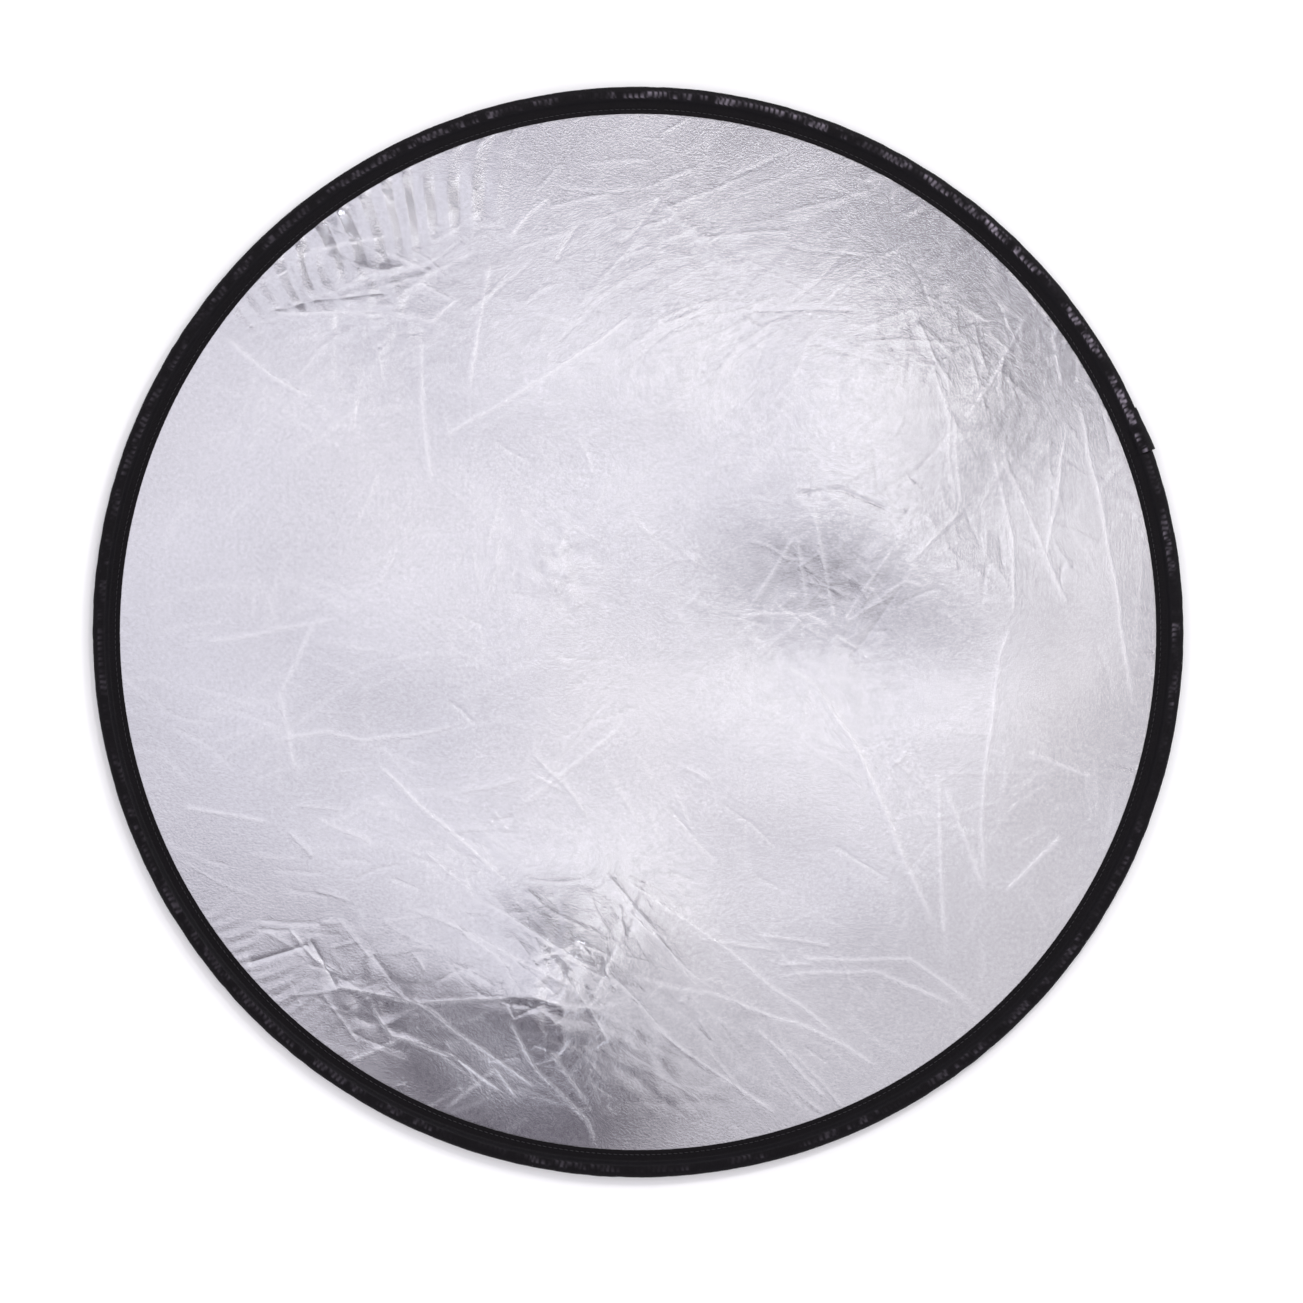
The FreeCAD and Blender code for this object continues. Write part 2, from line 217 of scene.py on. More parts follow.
# The long creases, each with its height in millimetres and its corners as shares of the radius.
CREASES = [
    # upper right
    (0.09, [(0.54, 0.50), (0.57, 0.39), (0.57, 0.33), (0.58, 0.22)]),
    (0.09, [(0.58, 0.39), (0.59, 0.22)]),
    (0.09, [(0.72, 0.59), (0.60, 0.38)]),
    (0.09, [(0.64, 0.35), (0.69, 0.17), (0.69, 0.02)]),
    (0.09, [(0.64, 0.34), (0.69, 0.28), (0.75, 0.14), (0.79, 0.38)]),
    (0.09, [(0.69, 0.17), (0.75, 0.14), (0.79, 0.05)]),
    (0.09, [(0.76, 0.56), (0.78, 0.45)]),
    (0.09, [(0.80, 0.44), (0.82, 0.37), (0.86, 0.18), (0.90, -0.07), (0.91, -0.15)]),
    # the star
    (0.10, [(0.32, 0.24), (0.36, 0.01)]),
    (0.09, [(0.29, 0.18), (0.31, 0.04)]),
    (0.09, [(0.29, 0.18), (0.21, 0.05)]),
    (0.09, [(0.17, 0.02), (0.21, 0.03), (0.31, 0.03), (0.36, 0.00)]),
    (0.07, [(0.31, 0.03), (0.22, -0.05)]),
    (0.10, [(0.47, 0.16), (0.39, 0.04), (0.37, 0.01)]),
    (0.10, [(0.53, 0.08), (0.49, 0.09), (0.37, 0.01)]),
    (0.08, [(0.48, 0.14), (0.54, 0.08)]),
    (0.07, [(0.49, 0.21), (0.47, 0.14)]),
    (0.06, [(0.61, 0.24), (0.51, 0.14)]),
    (0.07, [(0.59, 0.22), (0.49, 0.12)]),
    (-0.16, [(0.49, 0.09), (0.38, -0.06)]),
    (0.07, [(0.36, -0.01), (0.35, -0.08)]),
    (0.07, [(0.19, 0.01), (0.25, -0.05)]),
    (0.04, [(0.59, 0.07), (0.68, 0.00)]),
    (-0.24, [(0.29, 0.25), (0.33, 0.26), (0.37, 0.26), (0.47, 0.22)]),
    # top
    (0.06, [(0.01, 0.60), (0.15, 0.69)]),
    (-0.10, [(0.20, 0.59), (0.41, 0.59)]),
    (0.06, [(0.48, 0.63), (0.58, 0.70)]),
    # right
    (0.14, [(0.25, -0.05), (0.33, -0.10), (0.36, -0.15), (0.41, -0.23), (0.55, -0.56)]),
    (0.12, [(0.55, -0.25), (0.56, -0.57)]),
    (0.10, [(0.56, -0.28), (0.64, -0.48)]),
    (0.12, [(0.69, 0.02), (0.66, -0.05), (0.64, -0.23), (0.63, -0.36), (0.64, -0.48)]),
    (0.10, [(0.71, -0.22), (0.84, -0.27)]),
    (0.14, [(0.78, -0.37), (0.67, -0.48)]),
    # bottom right
    (0.085, [(0.28, -0.57), (0.31, -0.60), (0.50, -0.60), (0.62, -0.69)]),
    (0.085, [(0.25, -0.63), (0.43, -0.62), (0.59, -0.69)]),
    (0.09, [(-0.05, -0.44), (0.15, -0.57), (0.30, -0.69), (0.38, -0.76)]),
    (0.09, [(-0.04, -0.63), (0.13, -0.66), (0.29, -0.72), (0.38, -0.76), (0.46, -0.81)]),
    (0.10, [(0.01, -0.71), (0.11, -0.79), (0.26, -0.89)]),
    (0.10, [(0.21, -0.72), (0.35, -0.86)]),
    # bottom left
    (0.18, [(-0.57, -0.65), (-0.40, -0.68), (-0.24, -0.67), (-0.21, -0.66)]),
    (0.20, [(-0.50, -0.67), (-0.45, -0.74), (-0.34, -0.78), (-0.24, -0.85)]),
    (0.14, [(-0.43, -0.66), (-0.18, -0.84)]),
    (0.16, [(-0.24, -0.70), (-0.19, -0.80), (-0.09, -0.90), (-0.08, -0.95)]),
    (0.14, [(-0.17, -0.76), (-0.09, -0.87)]),
    (0.12, [(-0.33, -0.55), (-0.22, -0.62)]),
    (0.14, [(-0.29, -0.49), (-0.08, -0.62)]),
    (0.12, [(-0.48, -0.24), (-0.23, -0.47)]),
    (0.12, [(-0.38, -0.52), (-0.10, -0.66)]),
    (0.08, [(-0.59, -0.34), (-0.49, -0.39)]),
    (-0.40, [(-0.72, -0.61), (-0.60, -0.57)]),
    (0.22, [(-0.64, -0.54), (-0.59, -0.60), (-0.53, -0.64)]),
    (-0.34, [(-0.60, -0.56), (-0.55, -0.66)]),
    (0.14, [(-0.55, -0.80), (-0.42, -0.74)]),
    (0.12, [(-0.36, -0.88), (-0.26, -0.80), (-0.22, -0.86)]),
    # the lower star
    (0.20, [(-0.06, -0.62), (0.10, -0.79)]),
    (0.18, [(-0.06, -0.44), (0.12, -0.66)]),
    (0.16, [(-0.06, -0.44), (-0.01, -0.52), (0.14, -0.66)]),
    (0.18, [(-0.21, -0.66), (-0.13, -0.60), (-0.05, -0.64), (-0.09, -0.69), (-0.20, -0.67)]),
    (0.16, [(-0.21, -0.66), (-0.12, -0.69), (-0.03, -0.68)]),
    (0.14, [(-0.17, -0.58), (-0.09, -0.69), (-0.05, -0.76)]),
    (0.14, [(-0.20, -0.60), (-0.11, -0.57), (-0.04, -0.60)]),
    (-0.28, [(-0.23, -0.71), (-0.14, -0.66), (-0.12, -0.60)]),
    (-0.26, [(-0.16, -0.72), (-0.08, -0.66), (-0.04, -0.57)]),
    # left
    (0.08, [(-0.84, -0.32), (-0.67, -0.35)]),
    (0.08, [(-0.69, -0.21), (-0.57, -0.18), (-0.50, -0.20), (-0.31, -0.17)]),
    (0.08, [(-0.22, -0.32), (-0.02, -0.17)]),
    (0.08, [(-0.80, -0.02), (-0.55, 0.02)]),
    (0.08, [(-0.62, -0.28), (-0.66, -0.12), (-0.58, 0.04)]),
    # top left
    (0.12, [(-0.63, 0.69), (-0.45, 0.73)]),
    (-0.26, [(-0.68, 0.59), (-0.59, 0.61), (-0.45, 0.62)]),
    (0.11, [(-0.68, 0.59), (-0.45, 0.58)]),
    (0.08, [(-0.40, 0.57), (-0.40, 0.41), (-0.39, 0.33), (-0.38, 0.26)]),
    (0.06, [(-0.45, 0.57), (-0.52, 0.41), (-0.66, 0.30)]),
    (0.06, [(-0.40, 0.42), (-0.52, 0.40), (-0.66, 0.31)]),
    (0.11, [(-0.27, 0.69), (-0.29, 0.59), (-0.31, 0.44)]),
    (0.09, [(-0.37, 0.35), (-0.17, 0.47), (0.00, 0.59)]),
    (0.09, [(-0.76, 0.54), (-0.67, 0.47), (-0.60, 0.43)]),
    (0.06, [(-0.68, 0.46), (-0.70, 0.41), (-0.70, 0.35)]),
    (0.11, [(-0.44, 0.62), (-0.40, 0.64), (-0.34, 0.61), (-0.38, 0.57), (-0.46, 0.59)]),
    (0.09, [(-0.24, 0.72), (-0.20, 0.77), (-0.16, 0.80)]),
    (0.06, [(-0.23, 0.70), (-0.12, 0.74)]),
    (0.08, [(-0.47, 0.70), (-0.38, 0.66), (-0.30, 0.70)]),
    (0.06, [(-0.04, 0.31), (-0.12, 0.15)]),
    (0.06, [(-0.04, 0.12), (-0.15, 0.12), (-0.13, 0.20), (-0.06, 0.16)]),
]

# A crease is a sharp edge on a wider shoulder, out to its reach. It wanders off its line by its bend,
# over a distance, and dies away at both ends. It is rubbed pale over a few edges' width, and fully so
# from the worn height up, in millimetres.
CREASE_EDGE = 0.65 * MM
CREASE_SHOULDER = 4 * MM
CREASE_REACH = 18 * MM
CREASE_BEND = (1.0 * MM, 24 * MM)
CREASE_END = 0.12
EDGE_SHARE, EDGE_ROUNDING = 0.8, 0.2
SHOULDER_SHARE, SHOULDER_FADES = 0.45, 0.4
WORN_HEIGHT = 0.09
WORN_WIDTH = 2.2

# Fine creases, many to a patch: the patch's middle and spread as shares of the radius, how many, their
# direction in degrees and how far it strays, and their length and height in millimetres.
FINE_CREASES = [
    ((0.00, 0.00), 0.60, 200, 10, 90, 80, 0.030),
    ((-0.42, -0.64), 0.18, 120, -14, 25, 44, 0.09),
    ((0.08, -0.66), 0.20, 80, -38, 20, 60, 0.07),
    ((-0.12, -0.66), 0.10, 60, 10, 90, 26, 0.10),
    ((0.38, 0.11), 0.12, 90, 60, 90, 34, 0.07),
    ((0.72, 0.36), 0.18, 90, -70, 30, 50, 0.06),
    ((-0.50, 0.60), 0.18, 90, 15, 50, 40, 0.07),
    ((0.25, 0.62), 0.22, 140, 25, 20, 70, 0.045),
    ((0.55, 0.62), 0.14, 90, 40, 40, 50, 0.05),
    ((-0.62, -0.12), 0.22, 60, -8, 25, 60, 0.035),
    ((0.70, -0.35), 0.18, 60, 75, 40, 50, 0.05),
    ((-0.20, 0.12), 0.16, 50, 50, 50, 40, 0.05),
]

# How fine creases vary: their bend in radians, and their length, height and edge as shares. Their
# shoulder is so many edges wide.
FINE_TURN = 0.07
FINE_LENGTHS, FINE_HEIGHTS, FINE_EDGES = (0.25, 0.9), (0.4, 1.4), (0.7, 1.4)
FINE_SHOULDER = 3
FINE_WEAR = 0.35

# Pleats at the rim: the middle and spread of the stretch in degrees, how far in they run as a share
# of the radius, the width of a pleat and its height in millimetres, and how far they lean from the
# radius.
PLEATS = [
    (119, 8, 0.17, 17.0, 1.40, 0.5),
    (133, 5, 0.13, 13.0, 0.55, 0.4),
    (-12, 12, 0.06, 11.0, 0.14, 0.0),
    (-36, 10, 0.05, 13.0, 0.12, 0.0),
    (42, 16, 0.07, 12.0, 0.12, 0.0),
    (222, 6, 0.09, 8.0, 0.10, 0.3),
    (185, 20, 0.04, 14.0, 0.04, 0.0),
]

# Across the pleats the cloth rises and falls from a sine wave at 0 to a zigzag at 1. They stray by a
# share of their width.
PLEAT_SHARPNESS = 0.97
PLEAT_STRAYS = 0.7

# The folds of a crumpled patch: how widely they are strewn, how rounded they are, how far each reaches,
# how steep it is, and how far it wanders over a distance.
FOLDS_PER_PATCH = 26
FOLDS_STREWN = 0.6
FOLD_BEND = (2 * MM, 20 * MM)
FOLD_EDGE = 0.5 * MM
FOLD_REACH = 8 * MM
FOLD_SLOPE = 0.035

# How crushed the whole cloth is, how far a patch's crushing goes past its folds, over what distances
# the crushing varies, and the crushed facets' sizes and heights in millimetres.
CRUSHED_EVERYWHERE = 0.12
CRUSHED_PAST = 1.1
CRUSHED_CELL, GRAIN_CELL = 45 * MM, 6 * MM
CRINKLES = [(7.0, 0.040), (3.6, 0.032), (2.0, 0.026)]
CRINKLE_BEND = (3 * MM, 13 * MM)
RIDGE_ROUNDING = 0.05

# The broad shape: uneven by so many millimetres, over cells of so many. The rear cloth sags, and has a
# share of the front one's fine shapes. Broad slopes are shaded bolder than they are. Neither cloth lies
# lower than its lowest, and the rear one stays the gap below the front one.
FRONT_UNEVEN, FRONT_CELL = 0.4, 75 * MM
REAR_UNEVEN, REAR_CELL = 0.6, 70 * MM
REAR_SAG = 1.6
REAR_SHARE = 0.6
BOLDNESS = 2.5
REAR_LOWEST = 0.35 * MM
FRONT_LOWEST = 0.9 * MM
CLOTH_GAP = 0.3 * MM

# The rim holds the cloth down, more and more from this share of the radius on. The crumples die away
# after a share of it, and all the fine shapes over a few millimetres at the tape's edge.
HELD_FROM = 0.5
CRUMPLED_TO = 0.88
UNDER_TAPE, BEFORE_TAPE = 2 * MM, 3 * MM


def polyline(x, y, corners):
    """Each point's distance from a line, and how far it is from the line's ends, from 0 to 1."""
    steps = np.hypot(*np.diff(corners, axis=0).T)
    total, done = steps.sum(), 0.0
    distance, place = np.full(x.shape, np.inf), np.zeros(x.shape)
    for start, end, step in zip(corners, corners[1:], steps):
        unit = (end - start) / step
        along = np.clip((x - start[0]) * unit[0] + (y - start[1]) * unit[1], 0, step)
        apart = np.hypot(x - start[0] - along * unit[0], y - start[1] - along * unit[1])
        nearer = apart < distance
        distance = np.where(nearer, apart, distance)
        place = np.where(nearer, (done + along) / total, place)
        done += step
    return distance, ramp(np.minimum(place, 1 - place), 0, CREASE_END)


class Creases:
    """Creases on the raster: how far they rise, and how worn the cloth is along them."""

    def __init__(self, seed):
        self.x, self.y = wandered(*CREASE_BEND, seed)
        self.rise, self.wear = np.zeros(X.shape), np.zeros(X.shape)

    def add(self, height, corners, edge, shoulder, wear_and_glint):
        """One crease: a sharp edge on a wider fold, rubbed paler. The corners are in metres."""
        low, high = np.min(corners, axis=0) - CREASE_REACH, np.max(corners, axis=0) + CREASE_REACH
        first = np.clip(np.floor((low + RASTER_HALF) / RASTER).astype(int), 0, len(AXIS))
        last = np.clip(np.ceil((high + RASTER_HALF) / RASTER).astype(int), 0, len(AXIS))
        window = (slice(first[0], last[0]), slice(first[1], last[1]))
        if first[0] >= last[0] or first[1] >= last[1]:
            return
        distance, strength = polyline(self.x[window], self.y[window], np.asarray(corners))
        sharp = np.exp(-np.sqrt((distance / edge) ** 2 + EDGE_ROUNDING))
        fade = ramp(distance, CREASE_REACH, SHOULDER_FADES * CREASE_REACH)
        wide = np.exp(-distance / shoulder) * fade
        profile = EDGE_SHARE * sharp + SHOULDER_SHARE * wide
        self.rise[window] += height * MM * strength * profile
        worn = strength * wear_and_glint * np.exp(-((distance / (WORN_WIDTH * edge)) ** 2))
        self.wear[window] = np.maximum(self.wear[window], worn)

    def add_long(self):
        """The long creases, the higher ones rubbed paler."""
        for height, corners in CREASES:
            wear_and_glint = min(1, max(0, height) / WORN_HEIGHT) ** 2
            self.add(height, np.array(corners) * DISC_RADIUS, CREASE_EDGE, CREASE_SHOULDER, wear_and_glint)

    def add_fine(self, seed):
        """The fine creases of every patch, each bent once near its middle."""
        random = np.random.default_rng(seed)
        for middle, spread, count, direction, stray, length, height in FINE_CREASES:
            for _ in range(count):
                centre = (np.array(middle) + random.normal(0, spread, 2)) * DISC_RADIUS
                angle = math.radians(direction + random.normal(0, stray))
                half = length * MM * random.uniform(*FINE_LENGTHS) / 2
                turn = random.normal(0, FINE_TURN)
                back = np.array([math.cos(angle - turn), math.sin(angle - turn)]) * half
                ahead = np.array([math.cos(angle + turn), math.sin(angle + turn)]) * half
                rise = height * random.uniform(*FINE_HEIGHTS) * random.choice([1, 1, -1])
                edge = CREASE_EDGE * random.uniform(*FINE_EDGES)
                corners = [centre - back, centre, centre + ahead]
                self.add(rise, corners, edge, FINE_SHOULDER * edge, FINE_WEAR)


def crumple(seed):
    """Patches of flat facets, which meet at sharp straight folds that cross one another."""
    random = np.random.default_rng(seed)
    rise = np.zeros(X.shape)
    x, y = wandered(*FOLD_BEND, seed)
    for middle, spread, _, strength in CRUMPLES:
        folds = np.zeros(X.shape)
        for fold in range(FOLDS_PER_PATCH):
            at = (np.array(middle) + random.normal(0, FOLDS_STREWN * spread, 2)) * DISC_RADIUS
            angle = (fold + random.uniform(0, 1)) * math.pi / FOLDS_PER_PATCH
            away = (x - at[0]) * math.sin(angle) - (y - at[1]) * math.cos(angle)
            depth = np.hypot(away, FOLD_EDGE)
            folds += random.uniform(-1, 1) * depth * np.exp(-((depth / FOLD_REACH) ** 2))
        rise += FOLD_SLOPE * strength * folds * mound(middle, spread)
    return rise


def crushing():
    """How crushed the cloth is: a little all over, and up to about 1 in the crumpled patches."""
    share = CRUSHED_EVERYWHERE * (1 + noise(X, Y, CRUSHED_CELL, 82))
    for middle, spread, crushed, _ in CRUMPLES:
        share = share + crushed * mound(middle, CRUSHED_PAST * spread)
    return np.clip(share, 0, 1) * (0.8 + 0.4 * noise(X, Y, GRAIN_CELL, 83))


def crinkle(crushed, seed):
    """The small crushed-foil facets of metallised cloth, deeper where it is crushed."""
    x, y = wandered(*CRINKLE_BEND, seed)
    rise = np.zeros(X.shape)
    for number, (cell, height) in enumerate(CRINKLES):
        ridges = np.hypot(noise(x, y, cell * MM, seed + 2 + number), RIDGE_ROUNDING)
        rise += height * MM * ridges
    return rise * crushed


def pleats():
    """Radial pleats where the cloth is gathered into the binding."""
    radius, angle = RADIUS / DISC_RADIUS, np.degrees(np.arctan2(Y, X)) % 360
    edge = TAPE_EDGE / DISC_RADIUS
    rise = np.zeros(X.shape)
    for middle, spread, depth, width, height, lean in PLEATS:
        away = (angle - middle + 180) % 360 - 180
        stretch = np.exp(-((away / spread) ** 2) / 2)
        inward = ramp(radius, edge - depth, edge - 0.2 * depth)
        along = np.radians(away) * DISC_RADIUS - lean * (TAPE_EDGE - RADIUS)
        along = along + PLEAT_STRAYS * width * MM * noise(X, Y, 3 * width * MM, middle % 360)
        wave = np.arcsin(PLEAT_SHARPNESS * np.sin(math.tau * along / (width * MM))) / (math.pi / 2)
        uneven = ramp(noise(X, Y, 1.7 * width * MM, middle % 360 + 1), -0.9, 0.7)
        rise += height * MM * stretch * inward * wave * uneven
    return rise


def cloth(level, broad, fine, wear, crushed):
    """A cloth's height, the bolder height that it is shaded by, its wear and its crushing.

    Broad is in millimetres and fine in metres.
    """
    start = HELD_FROM * TAPE_EDGE
    toward_rim = np.clip((RADIUS - start) / (TAPE_EDGE + 1 * MM - start), 0, 1)
    held = 1 - toward_rim**2
    free = ramp(RADIUS, TAPE_EDGE + UNDER_TAPE, TAPE_EDGE - BEFORE_TAPE)
    broad, fine = broad * held * MM, fine * free
    return level + broad + fine, BOLDNESS * broad + fine, wear * free, crushed * free


def facets():
    """Facets between creases, each a smooth step in the cloth, in millimetres."""
    rise = np.zeros(X.shape)
    for middle, spread, direction, half_width, height in FACETS:
        turn = math.radians(direction)
        along = (X - middle[0] * DISC_RADIUS) * math.cos(turn)
        along = along + (Y - middle[1] * DISC_RADIUS) * math.sin(turn)
        rise += height * np.tanh(along / (half_width * MM)) * mound(middle, spread)
    return rise


def front_cloth():
    """The front cloth, with all of its creases, facets, patches and pleats."""
    creases = Creases(11)
    creases.add_long()
    creases.add_fine(14)
    broad = BASE_RISE + sum(rise * mound(middle, spread) for middle, spread, rise in SWELLS)
    broad = broad + FRONT_UNEVEN * noise(X, Y, FRONT_CELL, 3) + facets()
    crushed = crushing()
    inside = ramp(RADIUS, TAPE_EDGE, CRUMPLED_TO * TAPE_EDGE)
    crumpled = (crumple(17) + crinkle(crushed, 80)) * inside
    fine = creases.rise + crumpled + pleats()
    height, *looks = cloth(FRONT_LEVEL, broad, fine, creases.wear, crushed)
    return np.maximum(height, FRONT_LOWEST), *looks


def rear_cloth(front):
    """The rear cloth hangs just under the front one."""
    creases = Creases(41)
    creases.add_fine(44)
    broad = REAR_UNEVEN * noise(X, Y, REAR_CELL, 8) - REAR_SAG
    crumpled = crumple(47) * ramp(RADIUS, TAPE_EDGE, CRUMPLED_TO * TAPE_EDGE)
    fine = REAR_SHARE * (creases.rise + crumpled + pleats())
    height, *looks = cloth(REAR_LEVEL, broad, fine, creases.wear, crushing())
    return np.maximum(np.minimum(height, front[0] - CLOTH_GAP), REAR_LOWEST), *looks


# ---- meshes


def new_piece(name, points, faces, normals=None):
    """A smooth mesh object in the row frame. Normals are one for each point."""
    mesh = bpy.data.meshes.new(name)
    mesh.from_pydata(points.tolist(), [], faces)
    mesh.polygons.foreach_set("use_smooth", np.ones(len(mesh.polygons), bool))
    mesh.update()
    if normals is not None:
        mesh.normals_split_custom_set_from_vertices(normals.tolist())
    piece = bpy.data.objects.new(name, mesh)
    bpy.context.scene.collection.objects.link(piece)
    return piece


def store(piece, name, vectors):
    """Keeps a vector for each point, for the materials to read, wherever the point moves later."""
    layer = piece.data.attributes.new(name, "FLOAT_VECTOR", "POINT")
    layer.data.foreach_set("vector", np.asarray(vectors, np.float32).ravel())


def sector_net(step):
    """One sector's net: each point's radius and its place across the sector, and the triangles."""
    rows = math.ceil(CLOTH_RADIUS / step)
    radii, across, faces = [0.0], [0.5], []
    first_inner, inner = 0, 0
    for row in range(1, rows + 1):
        radius = CLOTH_RADIUS * row / rows
        outer = max(1, math.ceil(radius * SWEEP / step))
        first_outer = len(radii)
        radii += [radius] * (outer + 1)
        across += [n / outer for n in range(outer + 1)]
        a = b = 0
        while a < inner or b < outer:
            here = (first_inner + a, first_outer + b)
            if b == outer or (a < inner and (2 * a + 1) * outer < (2 * b + 1) * inner):
                a += 1
                faces.append((*here, first_inner + a))
            else:
                b += 1
                faces.append((*here, first_outer + b))
        first_inner, inner = first_outer, outer
    return np.array(radii), np.array(across), faces


def cloth_sectors(side, rasters, net, upwards):
    """One cloth in its sectors, shaded by its bolder slopes, each with its rim body and its number."""
    radii, across, faces = net
    height, shading, wear, crushed = rasters
    slopes = np.gradient(shading, RASTER)
    if not upwards:
        faces = [face[::-1] for face in faces]
    for number, rim in enumerate(RIMS, start=1):
        angles = START + (number - 1 + across) * SWEEP
        x, y = radii * np.cos(angles), radii * np.sin(angles)
        level, upright = np.zeros(x.shape), np.ones(x.shape)
        normals = np.stack([-sample(slopes[0], x, y), -sample(slopes[1], x, y), upright], axis=1)
        normals /= np.linalg.norm(normals, axis=1)[:, None]
        points = np.stack([x, y, sample(height, x, y)], axis=1)
        sign = 1 if upwards else -1
        piece = new_piece(f"{side}_cloth_{number:02d}", points, faces, sign * normals)
        store(piece, "flat", np.stack([x, y, level], axis=1))
        store(piece, "marks", np.stack([sample(wear, x, y), sample(crushed, x, y), level], axis=1))
        yield number, rim, piece


def mid_radial(number):
    """The direction of a sector's middle line."""
    angle = START + (number - 0.5) * SWEEP
    return Vector((math.cos(angle), math.sin(angle), 0))


def make_cloth(side, rasters, step, upwards, cad_node, finish):
    """The sectors of one cloth, each on the body of its own arc of the rim."""
    for number, rim, piece in cloth_sectors(side, rasters, sector_net(step), upwards):
        piece.data.materials.append(finish)
        outward = mid_radial(number)
        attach(piece, rim)
        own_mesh(piece)
        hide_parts(cad_node)


# ---- the binding

# The tape's section: a thin sewn flange, then a flank that climbs to the crown of the hoop's tube.
TAPE_THICKNESS = 0.5 * MM
FLANGE_HALF = 0.85 * MM
TUBE_HALF = RIM_HEIGHT / 2
FLANK_START = DISC_RADIUS - 9.4 * MM
CROWN = DISC_RADIUS - 6.0 * MM
ROUNDNESS = 4.0
STATION = 0.5 * MM
OUTLINE_POINTS = 9

# The gathers over the tube: how far apart they are along the tape, how much they lean, how high they
# are beside the tape's own unevenness, where round the disc they are tightest, and their two rows'
# distance from the outer edge.
GATHER_PITCH = 3.2 * MM
GATHER_LEAN = 1.5
GATHER_HEIGHT = 0.22 * MM
TUBE_ROUGH, TUBE_COARSE, FLANGE_COARSE = 0.07 * MM, 0.14 * MM, 0.05 * MM
GATHERED_MOST = math.radians(50)
GATHERED_SPREAD = math.radians(50)
ROW_INSETS = (3.2 * MM, 5.6 * MM)
ROW_WIDTH = 0.8 * MM

# The dip that the seam pulls into the flange.
SEAM_DIP = 0.13 * MM
SEAM_WIDTH = 0.8 * MM

# The gap at the tape's two ends.
SPAN_CLEARANCE = 0.15 * MM


def half_height(radius, inset):
    """The tape's height above the rim's middle plane, with its skin moved in by the inset."""
    flank = ramp(radius, FLANK_START, CROWN)
    low, high = FLANGE_HALF - inset, TUBE_HALF - inset
    inside = low + (high - low) * flank
    share = np.clip((radius - CROWN) / (DISC_RADIUS - inset - CROWN), 0, 1)
    outside = high * (1 - share**ROUNDNESS) ** (1 / ROUNDNESS)
    return np.where(radius < CROWN, inside, outside)


def section(inset):
    """The tape's outline, from its upper edge over the tube and back to its lower edge."""
    flat = np.linspace(TAPE_EDGE, FLANK_START, OUTLINE_POINTS, endpoint=False)
    flank = np.linspace(FLANK_START, CROWN, OUTLINE_POINTS, endpoint=False)
    turn = np.linspace(0, math.pi / 2, OUTLINE_POINTS)
    side = CROWN + (DISC_RADIUS - inset - CROWN) * np.sin(turn) ** (2 / ROUNDNESS)
    side_height = (TUBE_HALF - inset) * np.cos(turn) ** (2 / ROUNDNESS)
    radius = np.concatenate([flat, flank, side])
    height = np.concatenate([half_height(flat, inset), half_height(flank, inset), side_height])
    return np.concatenate([radius, radius[-2::-1]]), np.concatenate([height, -height[-2::-1]])


def gather_rows(along, across, seed):
    """Two rows of small gathers over the tube, from 0 to 1, tightest at the upper right.

    The tape's glints are painted on the same rows.
    """
    lean = GATHER_LEAN * (DISC_RADIUS - across)
    stretch = along + lean + 1.4 * MM * noise(along, across, 7 * MM, seed)
    away = (along / DISC_RADIUS - GATHERED_MOST + math.pi) % math.tau - math.pi
    tightness = 0.2 + 0.8 * np.exp(-((away / GATHERED_SPREAD) ** 2))
    rows = np.zeros(np.broadcast(along, across).shape)
    for offset, inset in ((0, ROW_INSETS[0]), (0.5, ROW_INSETS[1])):
        wave = ramp(np.cos(math.tau * (stretch / GATHER_PITCH + offset)), -1.2, 0.6)
        rows += wave * np.exp(-(((across - DISC_RADIUS + inset) / ROW_WIDTH) ** 2))
    streaks = ramp(noise(along, across, 17 * MM, seed + 3), -0.9, 0.6)
    uneven = ramp(noise(along, 3 * across, 4.3 * MM, seed + 4), -0.5, 0.6)
    return rows * tightness * streaks * uneven


def puckers(along, across, side):
    """Small gathers on the tape: two rows over the tube, faint ones on the flange, and the seam's dip.

    The lower side, which the disc lies on, has only the hollows between them.
    """
    seed = 50 if side > 0 else 60
    over_tube = ramp(across, FLANK_START - 1 * MM, FLANK_START + 2 * MM)
    rows = gather_rows(along, across, seed)
    stretch = along + 0.8 * MM * noise(along, across, 11 * MM, seed)
    rough = noise(stretch, across * 0.9, 2.1 * MM, seed + 1)
    coarse = noise(stretch, across * 0.5, 6.5 * MM, seed + 2)
    gather = over_tube * (TUBE_ROUGH * rough + TUBE_COARSE * coarse) + GATHER_HEIGHT * rows
    flange = (1 - over_tube) * FLANGE_COARSE * coarse
    seam = np.exp(-(((across - SEAM_RADIUS) / SEAM_WIDTH) ** 2))
    pull = 0.6 + 0.4 * np.cos(math.tau * along / STITCH_PITCH)
    raised = gather + flange - SEAM_DIP * seam * pull
    return raised if side > 0 else np.minimum(raised, 0)


